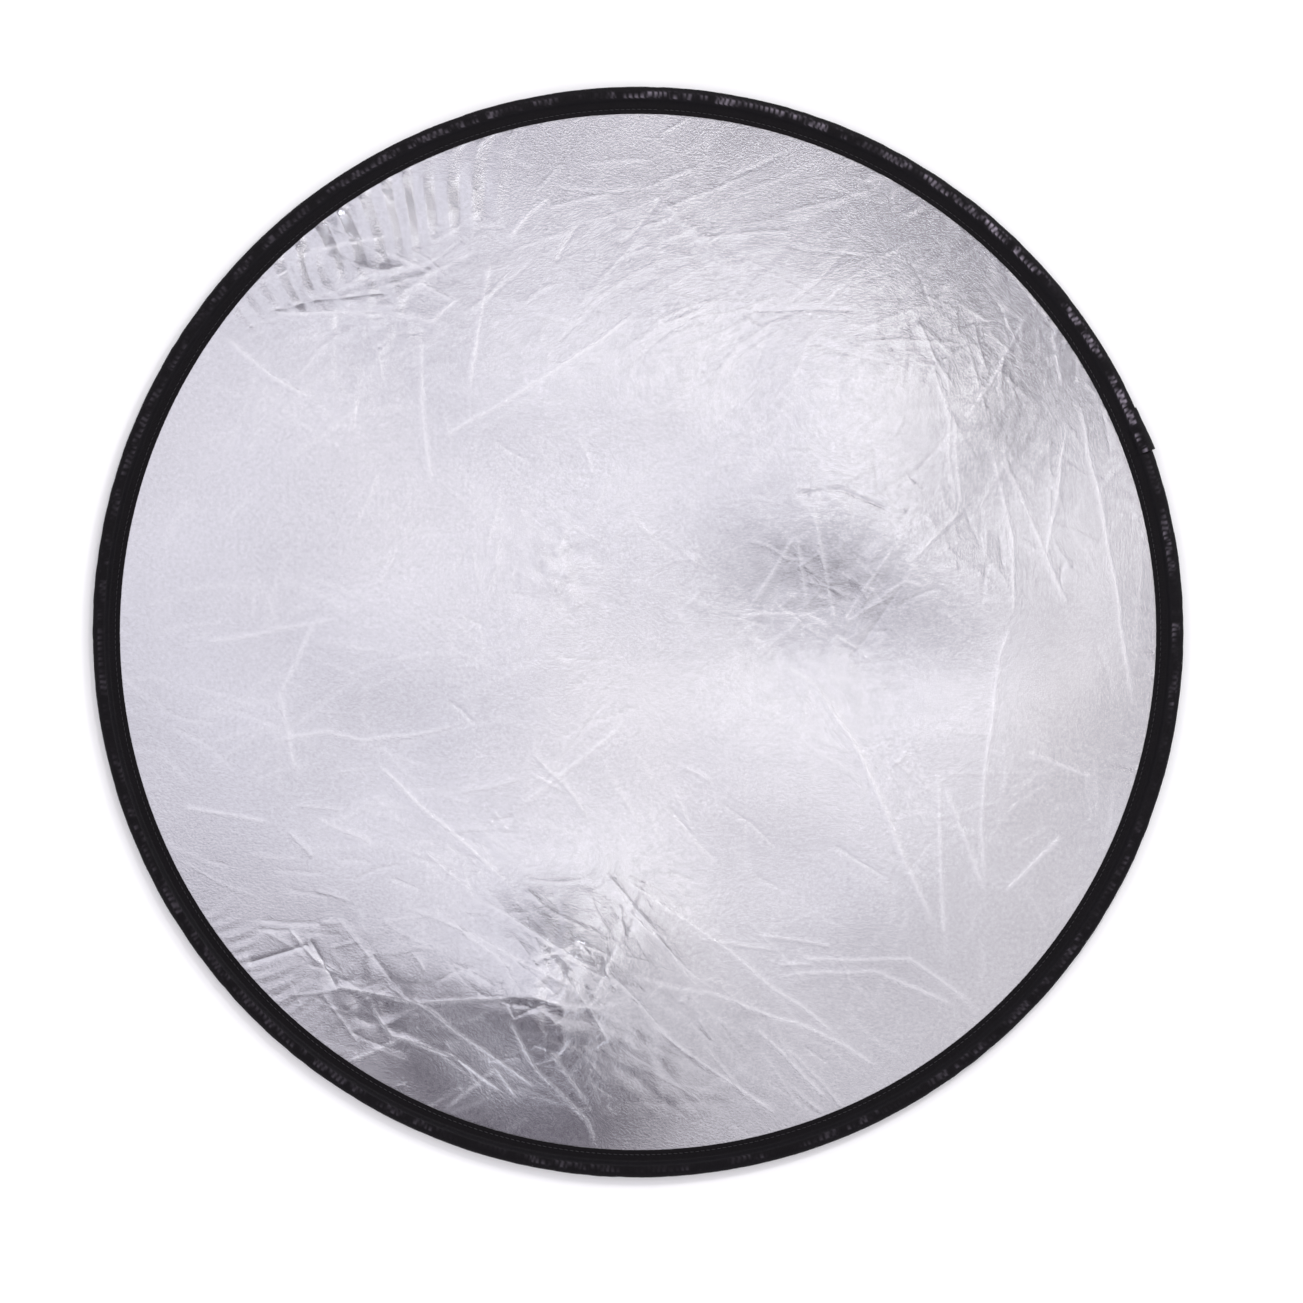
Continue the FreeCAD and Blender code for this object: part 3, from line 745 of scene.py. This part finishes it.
def tape_grid(start, end, lift=None):
    """The outer and inner skins of a stretch of tape, and the angles of the stations along it.

    Each skin is a grid of points, stations by points round the section. There is one more station
    past each end, for the normals. lift says how far the outer skin is moved out at each point.
    """
    count = math.ceil((end - start) * DISC_RADIUS / STATION)
    step = (end - start) / count
    angles = start + step * np.arange(-1, count + 2)
    outer_r, outer_h = section(0)
    inner_r, inner_h = section(TAPE_THICKNESS)
    along = angles[:, None] * DISC_RADIUS
    if lift is None:
        upper, lower = (puckers(along, outer_r[None, :], side) for side in (1, -1))
        raised = np.where(np.arange(len(outer_r)) < len(outer_r) / 2, upper, lower)
    else:
        raised = lift(angles[:, None], outer_r[None, :], outer_h[None, :])
    slope_r, slope_h = np.gradient(outer_r), np.gradient(outer_h)
    size = np.hypot(slope_r, slope_h)
    out_r, out_h = -slope_h / size, slope_r / size
    grids = []
    for radius, height in ((outer_r + raised * out_r, outer_h + raised * out_h), (inner_r, inner_h)):
        x, y = radius * np.cos(angles[:, None]), radius * np.sin(angles[:, None])
        grids.append(np.stack([x, y, np.broadcast_to(MIDDLE + height, x.shape)], axis=2))
    return angles, grids


def grid_normals(grid):
    """The normals of a grid of points, pointing out of the tape."""
    along = np.gradient(grid, axis=0)
    around = np.gradient(grid, axis=1)
    normals = np.cross(around, along)
    return normals / np.linalg.norm(normals, axis=2)[..., None]


def tape_faces(index, capped_start, capped_end):
    """The faces of a grid that closes round the tape, and of the ends that are capped."""
    after = np.roll(index, -1, axis=1)
    faces = np.stack([index[:-1], after[:-1], after[1:], index[1:]], axis=2).reshape(-1, 4).tolist()
    around = index.shape[1]
    for capped, row, turn in ((capped_start, index[0], -1), (capped_end, index[-1], 1)):
        if capped:
            pairs = range(around // 2 - 1)
            caps = [(row[k], row[k + 1], row[around - 2 - k], row[around - 1 - k]) for k in pairs]
            faces += [tuple(int(n) for n in cap[::turn]) for cap in caps]
    return faces


def tape_piece(name, start, end, capped_start=False, capped_end=False, lift=None):
    """A stretch of tape as a closed outline, open at the ends that meet the next stretch."""
    angles, (outer, inner) = tape_grid(start, end, lift)
    normals = np.concatenate([grid_normals(outer), -grid_normals(inner)[:, ::-1]], axis=1)[1:-1]
    grid = np.concatenate([outer, inner[:, ::-1]], axis=1)[1:-1]
    stations, around = grid.shape[:2]
    index = np.arange(stations * around).reshape(stations, around)
    faces = tape_faces(index, capped_start, capped_end)
    piece = new_piece(name, grid.reshape(-1, 3), faces, normals.reshape(-1, 3))
    lengths = np.cumsum(np.linalg.norm(np.diff(grid[0], axis=0, prepend=grid[0, :1]), axis=1))
    along = np.broadcast_to(angles[1:-1, None] * DISC_RADIUS, (stations, around))
    across = np.broadcast_to(lengths[None, :], (stations, around))
    radius = np.hypot(grid[..., 0], grid[..., 1])
    # The glints are painted where the gathers' rows are, on the tape's upper side only.
    wear_and_glint = gather_rows(along, radius, 50) * (grid[..., 2] > MIDDLE)
    store(piece, "tape", np.stack([along, across, wear_and_glint], axis=2).reshape(-1, 3))
    return piece


# ---- stitches

# A stitch takes up most of its pitch, and slants a little across the seam.
STITCHES_PER_ARC = 25
STITCH_PITCH = SWEEP * DISC_RADIUS / STITCHES_PER_ARC
STITCH_LENGTH = 0.74
STITCH_SLANT = 0.10 * MM
THREAD_RADIUS = 0.2 * MM
THREAD_RINGS, THREAD_SIDES = 7, 8


def stitch_points(angle, level):
    """One stitch: a short thread that dips into the tape at both ends."""
    along = np.linspace(-1, 1, THREAD_RINGS)
    size = THREAD_RADIUS * np.sqrt(1 - 0.97 * along**4)
    dip = -0.9 * THREAD_RADIUS * along**4
    turn = np.arange(THREAD_SIDES) * math.tau / THREAD_SIDES
    length = STITCH_LENGTH * SWEEP / STITCHES_PER_ARC / 2
    swing = STITCH_SLANT * along
    radius = SEAM_RADIUS + swing[:, None] + size[:, None] * np.cos(turn)[None, :]
    side = 1 if level > MIDDLE else -1
    height = level + side * (dip[:, None] + size[:, None] * np.sin(turn)[None, :])
    theta = np.broadcast_to((angle + along * length)[:, None], radius.shape)
    points = np.stack([radius * np.cos(theta), radius * np.sin(theta), height], axis=2)
    return points.reshape(-1, 3)


def stitch_faces(base):
    """One stitch's faces, round it and at its two ends, from its first point's number."""
    faces = []
    for ring in range(THREAD_RINGS - 1):
        first = base + ring * THREAD_SIDES
        for k in range(THREAD_SIDES):
            a, b = first + k, first + (k + 1) % THREAD_SIDES
            faces.append((a, b, b + THREAD_SIDES, a + THREAD_SIDES))
    last = base + (THREAD_RINGS - 1) * THREAD_SIDES
    faces.append(tuple(base + k for k in reversed(range(THREAD_SIDES))))
    faces.append(tuple(last + k for k in range(THREAD_SIDES)))
    return faces


def stitch_row(name, start, end, level):
    """The stitches between two angles, as one piece."""
    pitch = SWEEP / STITCHES_PER_ARC
    first = math.ceil((start - START) / pitch - 0.5)
    last = math.floor((end - START) / pitch - 0.5 - 1e-6)
    points, faces = [], []
    for number in range(first, last + 1):
        base = len(points) * THREAD_RINGS * THREAD_SIDES
        points.append(stitch_points(START + (number + 0.5) * pitch, level))
        faces += stitch_faces(base)
    if level < MIDDLE:
        faces = [face[::-1] for face in faces]
    return new_piece(name, np.concatenate(points), faces)


def spans():
    """The tape's pieces: from the middle of one arc to the middle of the next, and the two ends."""
    clear = SPAN_CLEARANCE / DISC_RADIUS
    for number in range(len(RIMS) + 1):
        start = START + max(0, number - 0.5) * SWEEP
        end = START + min(len(RIMS), number + 0.5) * SWEEP
        if number == 0:
            start += clear
        if number == len(RIMS):
            end -= clear
        yield number, start, end


def settle(piece, number):
    """Puts a span of tape or thread on its body; a span between two bodies is left on neither."""
    if number == 0:
        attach(piece, RIMS[0])
    elif number == len(RIMS):
        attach(piece, RIMS[-1])
    else:
        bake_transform(piece)


def make_binding(tape, thread):
    """The tape and its two rows of stitches, all the way round."""
    for number, start, end in spans():
        first, last = number == 0, number == len(RIMS)
        piece = tape_piece(f"tape_{number:02d}", start, end, capped_start=first, capped_end=last)
        piece.data.materials.append(tape)
        settle(piece, number)
        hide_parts(f"binding_arc_{max(1, number):02d}")
        below = 2 * MIDDLE - STITCH_LEVEL
        for side, level, node in (
            ("upper", STITCH_LEVEL, "needle_thread"),
            ("lower", below, "bobbin_thread"),
        ):
            row = stitch_row(f"stitches_{side}_{number:02d}", start, end, level)
            row.data.materials.append(thread)
            settle(row, number)
            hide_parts(node)


# The lapped end starts a little before the first arc, and covers its start. It stands off the tape by
# its lift, more by the bulge over the tube, and flares at its free end. Underneath, it is tucked in.
LAP_START = START - math.radians(0.5)
LAP_END = START + math.radians(4.3)
LAP_LIFT, LAP_BULGE, LAP_FLARE = 0.25 * MM, 0.35 * MM, 1.3 * MM
LAP_GATHER = 0.12 * MM
LAP_TUCKED = 0.12 * MM


def lap_lift(angle, radius, height):
    """How far the lapped end stands off the tape under it: most at its free end, on the outside."""
    toward_end = 1 - (angle - LAP_START) / (LAP_END - LAP_START)
    outside = ramp(radius, FLANK_START, DISC_RADIUS - 1 * MM)
    gather = LAP_GATHER * noise(angle * DISC_RADIUS, radius * 0.9, 2.3 * MM, 71)
    lift = LAP_LIFT + outside * (LAP_BULGE + LAP_FLARE * toward_end**1.5) + gather
    above = ramp(height, -2.2 * MM, -0.8 * MM)
    return above * lift - (1 - above) * LAP_TUCKED


def make_lap(tape):
    """The tape's lapped end."""
    piece = tape_piece("tape_lap", LAP_START, LAP_END, True, True, lift=lap_lift)
    piece.data.materials.append(tape)
    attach(piece, RIMS[-1])
    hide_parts("binding_lap")


# ---- materials


class Finish:
    """A node material with one Principled shader, and short ways to add to it."""

    def __init__(self, name):
        self.material = bpy.data.materials.new(name)
        self.material.use_nodes = True
        self.nodes = self.material.node_tree.nodes
        self.links = self.material.node_tree.links
        self.shader = next(n for n in self.nodes if n.type == "BSDF_PRINCIPLED")

    def set(self, **values):
        """Sets or joins the shader's own sockets, whose names have underscores for spaces here."""
        for name, value in values.items():
            self.join(value, self.shader.inputs[name.replace("_", " ")])

    def add(self, kind, inputs=None, **settings):
        """Adds a node. An input is a value, or another node's output to join it to."""
        node = self.nodes.new(kind)
        for name, value in settings.items():
            setattr(node, name, value)
        for name, value in (inputs or {}).items():
            self.join(value, node.inputs[name])
        return node

    def join(self, value, socket):
        """Sets a socket to a value, or joins it to another node's output."""
        if isinstance(value, bpy.types.NodeSocket):
            self.links.new(value, socket)
        else:
            socket.default_value = value

    def math(self, operation, *values):
        """A Math node's output."""
        inputs = dict(enumerate(values))
        return self.add("ShaderNodeMath", inputs, operation=operation).outputs[0]

    def plus(self, first, second):
        """The sum of two values."""
        return self.math("ADD", first, second)

    def times(self, first, second):
        """The product of two values."""
        return self.math("MULTIPLY", first, second)

    def wave(self, value, pitch):
        """A sine wave along a value, from -1 to 1."""
        return self.math("SINE", self.times(value, math.tau / pitch))

    def noise(self, vector, scale, detail=2.0, roughness=0.5):
        """Noise from 0 to 1."""
        inputs = {"Vector": vector, "Scale": scale, "Detail": detail, "Roughness": roughness}
        return self.add("ShaderNodeTexNoise", inputs).outputs["Fac"]

    def span(self, value, low, high):
        """Spreads a value from 0 to 1 over low to high."""
        node = self.add("ShaderNodeMapRange", {"Value": value, "To Min": low, "To Max": high})
        return node.outputs[0]

    def mix(self, share, first, second):
        """A colour between two colours."""
        node = self.add("ShaderNodeMix", data_type="RGBA")
        self.join(share, node.inputs[0])
        self.join(first, node.inputs[6])
        self.join(second, node.inputs[7])
        return node.outputs[2]

    def stored(self, name):
        """A vector kept on the mesh's points."""
        return self.add("ShaderNodeAttribute", attribute_name=name).outputs["Vector"]

    def bump(self, height, distance, strength=1.0):
        """Bumps whose height runs from 0 to 1, over a distance in metres."""
        inputs = {"Height": height, "Distance": distance, "Strength": strength}
        self.links.new(self.add("ShaderNodeBump", inputs).outputs[0], self.shader.inputs["Normal"])


def darker(colour, share):
    """A share of a colour, with its alpha kept at 1."""
    return (*(share * part for part in colour[:3]), 1)


# The pitch of the cloth's weave, and of the tape's ribs and of the ends across them.
YARN = 0.45 * MM
RIB, RIB_END = 0.9 * MM, 0.6 * MM

# The tape's two blacks, the pale grey of the glints painted on its gathers, and the floor's and
# the thread's two shades.
TAPE_BLACKS = ((0.0016, 0.0011, 0.0018, 1), (0.0034, 0.0023, 0.0040, 1))
TAPE_PAINTED_GLINT = (0.32, 0.28, 0.34, 1)
FLOOR_GREYS = ((0.93, 0.93, 0.93, 1), (0.95, 0.95, 0.95, 1))
THREAD_BLACKS = ((0.003, 0.0025, 0.0035, 1), (0.009, 0.007, 0.011, 1))

# A rubbed crease shows this much of the worn colour, where the speckle is fullest.
MOST_WEAR = 0.56


def film_colour(finish, place, colour, film_and_shade):
    """The metal film's colour: darker where it is thin and where shade is painted on the crushed cloth,
    and a little warm where it is tarnished.
    """
    tarnish = finish.noise(place, 6, 2)
    warm = (colour[0] * 1.02, colour[1] * 0.99, colour[2] * 0.93, 1)
    full = finish.mix(finish.times(tarnish, tarnish), colour, warm)
    return finish.mix(film_and_shade, darker(colour, 0.55), full)


def film_grain(finish, place):
    """The crinkle of the film, with the cloth's weave faintly in it."""
    parts = finish.add("ShaderNodeSeparateXYZ", {"Vector": place}).outputs
    weave = finish.times(finish.wave(parts["X"], YARN), finish.wave(parts["Y"], YARN))
    return finish.plus(finish.noise(place, 800, 4, 0.65), finish.times(weave, 0.02))


def metallised_cloth(name, colour, worn, roughness):
    """Woven nylon with a film of metal: satin, with a fine crinkle and whiter creases."""
    finish = Finish(name)
    place = finish.stored("flat")
    marks = finish.add("ShaderNodeSeparateXYZ", {"Vector": finish.stored("marks")}).outputs
    speckle = finish.noise(place, 480, 3, 0.7)
    blotch = finish.noise(place, 14, 4, 0.6)
    film_and_shade = finish.plus(finish.times(blotch, 0.35), finish.times(speckle, 0.65))
    # Painted shade: the film is darkened where the cloth is crushed.
    film_and_shade = finish.math("SUBTRACT", film_and_shade, finish.times(marks["Y"], 0.28))
    base = film_colour(finish, place, colour, film_and_shade)
    wear = finish.times(marks["X"], finish.times(speckle, MOST_WEAR))
    rough = finish.plus(roughness - 0.06, finish.times(blotch, 0.08))
    finish.set(
        Base_Color=finish.mix(wear, base, worn),
        Metallic=finish.math("SUBTRACT", 0.97, finish.times(wear, 0.7)),
        Roughness=finish.plus(rough, finish.times(speckle, 0.05)),
    )
    finish.bump(film_grain(finish, place), 0.09 * MM)
    return finish.material


def woven_tape():
    """Black ribbed nylon tape, with glints painted pale grey on the tops of its gathers."""
    finish = Finish("binding_tape")
    parts = finish.add("ShaderNodeSeparateXYZ", {"Vector": finish.stored("tape")}).outputs
    place = finish.add("ShaderNodeCombineXYZ", {"X": parts["X"], "Y": parts["Y"]}).outputs[0]
    fuzz = finish.noise(place, 1800, 2)
    black = finish.mix(finish.noise(place, 60, 3), *TAPE_BLACKS)
    # Painted glints: the black goes pale grey on the tops of the gathers.
    colour = finish.mix(finish.math("POWER", parts["Z"], 1.3), black, TAPE_PAINTED_GLINT)
    finish.set(Base_Color=colour, Roughness=finish.span(fuzz, 0.40, 0.55), Specular_IOR_Level=0.12)
    ribs, ends = finish.wave(parts["X"], RIB), finish.wave(parts["Y"], RIB_END)
    weave = finish.plus(finish.times(ribs, 0.5), finish.times(ends, 0.2))
    finish.bump(finish.plus(weave, finish.times(fuzz, 0.5)), 0.06 * MM)
    return finish.material


def sewing_thread():
    """Black twisted thread."""
    finish = Finish("sewing_thread")
    place = finish.add("ShaderNodeTexCoord").outputs["Object"]
    grain = finish.noise(place, 4000, 2)
    finish.set(Base_Color=finish.mix(grain, *THREAD_BLACKS), Roughness=0.45)
    finish.bump(grain, 0.05 * MM)
    return finish.material


def rolled_steel(name, colour, roughness):
    """Cold-rolled steel, with fine marks along it."""
    finish = Finish(name)
    place = finish.add("ShaderNodeTexCoord").outputs["Object"]
    stretched = finish.add("ShaderNodeMapping", {"Vector": place, "Scale": (60, 60, 3000)})
    marks = finish.noise(stretched.outputs[0], 1, 4)
    shade = finish.mix(marks, darker(colour, 0.7), colour)
    rough = finish.span(marks, roughness - 0.08, roughness + 0.12)
    finish.set(Base_Color=shade, Roughness=rough, Metallic=1.0)
    finish.bump(marks, 0.02 * MM)
    return finish.material


def plain_floor():
    """A matt pale floor with a barely visible mottle."""
    finish = Finish("floor")
    place = finish.add("ShaderNodeTexCoord").outputs["Object"]
    colour = finish.mix(finish.noise(place, 2), *FLOOR_GREYS)
    finish.set(Base_Color=colour, Roughness=0.9, Specular_IOR_Level=0.1)
    return finish.material


def coat(node, finish):
    """Gives a CAD node a finish."""
    node.data.materials.clear()
    node.data.materials.append(finish)


# ---- the studio

FLOOR_SIZE = 40


def make_floor():
    """A plain floor, far wider than the view."""
    bpy.ops.mesh.primitive_grid_add(x_subdivisions=4, y_subdivisions=4, size=FLOOR_SIZE)
    floor = bpy.context.object
    floor.name = "floor"
    floor.data.materials.append(plain_floor())


def softbox(name, place, aim, size, power, colour=(1, 1, 1)):
    """A rectangular softbox at a place, turned to an aim. Its size is across and along."""
    light = bpy.data.lights.new(name, "AREA")
    light.shape = "RECTANGLE"
    light.size, light.size_y = size
    light.energy = power
    light.color = colour
    box = bpy.data.objects.new(name, light)
    bpy.context.scene.collection.objects.link(box)
    box.location = place
    box.rotation_euler = (Vector(aim) - Vector(place)).to_track_quat("-Z", "Y").to_euler()
    box.visible_camera = False
    return box


# The strip's turn, middle and width, and its two parts: each one's middle along it and length in
# metres, its brightness and its colour.
STRIP_TURN = math.radians(-28)
STRIP_MIDDLE = Vector((-0.04, -0.07, 2.6))
STRIP_WIDTH = 1.26
STRIP_PARTS = (
    ("strip", -0.84, 1.92, 0.96, (1.0, 0.98, 1.0)),
    ("strip_end", 0.96, 1.68, 0.765, (1.0, 0.975, 0.95)),
)


def make_strip():
    """The main light: a long strip over the disc, dimmer and warmer along one end."""
    along = Vector((math.cos(STRIP_TURN), math.sin(STRIP_TURN), 0))
    for name, middle, length, brightness, colour in STRIP_PARTS:
        place = STRIP_MIDDLE + middle * along
        power = brightness * math.pi * length * STRIP_WIDTH
        light = softbox(name, place, place - Vector((0, 0, 1)), (length, STRIP_WIDTH), power, colour)
        light.rotation_euler.z = STRIP_TURN


# A spot in the disc's bright patch, and two lamps for the tape's glints: place, aim, size, power and
# colour.
LAMPS = (
    ("spot", (0.27, 0.30, 2.55), (0.27, 0.30, 0), (0.34, 0.30), 1.0, (1.0, 0.97, 0.90)),
    ("lamp_high", (0.61, 1.32, 2.0), (0, 0, 0), (0.26, 0.26), 9, (1, 1, 1)),
    ("lamp_low", (1.35, 1.20, 1.5), (0, 0, 0), (0.26, 0.26), 9, (1, 1, 1)),
)

# A large weak softbox on each side: its direction from the disc in degrees, and its power.
SIDE_SIZE, SIDE_AWAY, SIDE_HEIGHT = (3.0, 3.0), 2.5, 1.5
SIDES = (("right", 40, 24), ("back", 130, 22), ("left", 220, 20), ("front", 310, 20))


def make_lights():
    """The strip over the disc, the small lamps, and the softboxes round the sides."""
    make_strip()
    for lamp in LAMPS:
        softbox(*lamp)
    for name, turn, power in SIDES:
        angle = math.radians(turn)
        place = Vector((SIDE_AWAY * math.cos(angle), SIDE_AWAY * math.sin(angle), SIDE_HEIGHT))
        softbox(name, place, (0, 0, 0), SIDE_SIZE, power)


# The walls' and the ceiling's light, and how high each ends or starts, as a direction's z.
WALLS = (0.88, 0.87, 0.95, 1)
CEILING = (0.070, 0.050, 0.072, 1)
WALLS_END, CEILING_START = 0.60, 0.88


def make_walls():
    """Pale walls all round, up to where the ceiling's shade begins."""
    world = bpy.data.worlds.new("studio")
    world.use_nodes = True
    nodes, links = world.node_tree.nodes, world.node_tree.links
    background = next(n for n in nodes if n.type == "BACKGROUND")
    direction = nodes.new("ShaderNodeTexCoord").outputs["Generated"]
    parts = nodes.new("ShaderNodeSeparateXYZ")
    links.new(direction, parts.inputs[0])
    shade = nodes.new("ShaderNodeValToRGB")
    shade.color_ramp.interpolation = "EASE"
    stops = ((WALLS_END, WALLS), (CEILING_START, CEILING))
    for element, (height, colour) in zip(shade.color_ramp.elements, stops):
        element.position = height
        element.color = colour
    links.new(parts.outputs["Z"], shade.inputs["Fac"])
    links.new(shade.outputs["Color"], background.inputs["Color"])
    bpy.context.scene.world = world


# ---- the scene

make_camera()
make_floor()
make_lights()
make_walls()
bpy.context.scene.view_settings.view_transform = "Standard"

# The size of each cloth's triangles.
FRONT_STEP = 0.8 * MM
REAR_STEP = 3.0 * MM

# A cloth's colour, its colour where it is worn, and its roughness. A steel's colour and roughness.
SILVER = ((0.90, 0.915, 1.00, 1), (0.95, 0.95, 0.98, 1), 0.22)
GOLD = ((0.83, 0.60, 0.25, 1), (0.95, 0.82, 0.55, 1), 0.30)
SPRING_STEEL = ((0.42, 0.44, 0.50, 1), 0.35)
CLIP_STEEL = ((0.62, 0.62, 0.63, 1), 0.30)

silver = metallised_cloth("silver_cloth", *SILVER)
gold = metallised_cloth("gold_cloth", *GOLD)
front = front_cloth()
make_cloth("silver", front, FRONT_STEP, True, "front_panel", silver)
make_cloth("gold", rear_cloth(front), REAR_STEP, False, "rear_panel", gold)

tape_finish = woven_tape()
make_binding(tape_finish, sewing_thread())
make_lap(tape_finish)

spring_steel = rolled_steel("spring_steel", *SPRING_STEEL)
for number in range(1, len(RIMS) + 1):
    coat(frame["nodes"][f"hoop_arc_{number:02d}"], spring_steel)
coat(frame["nodes"]["hoop_clip"], rolled_steel("clip_steel", *CLIP_STEEL))
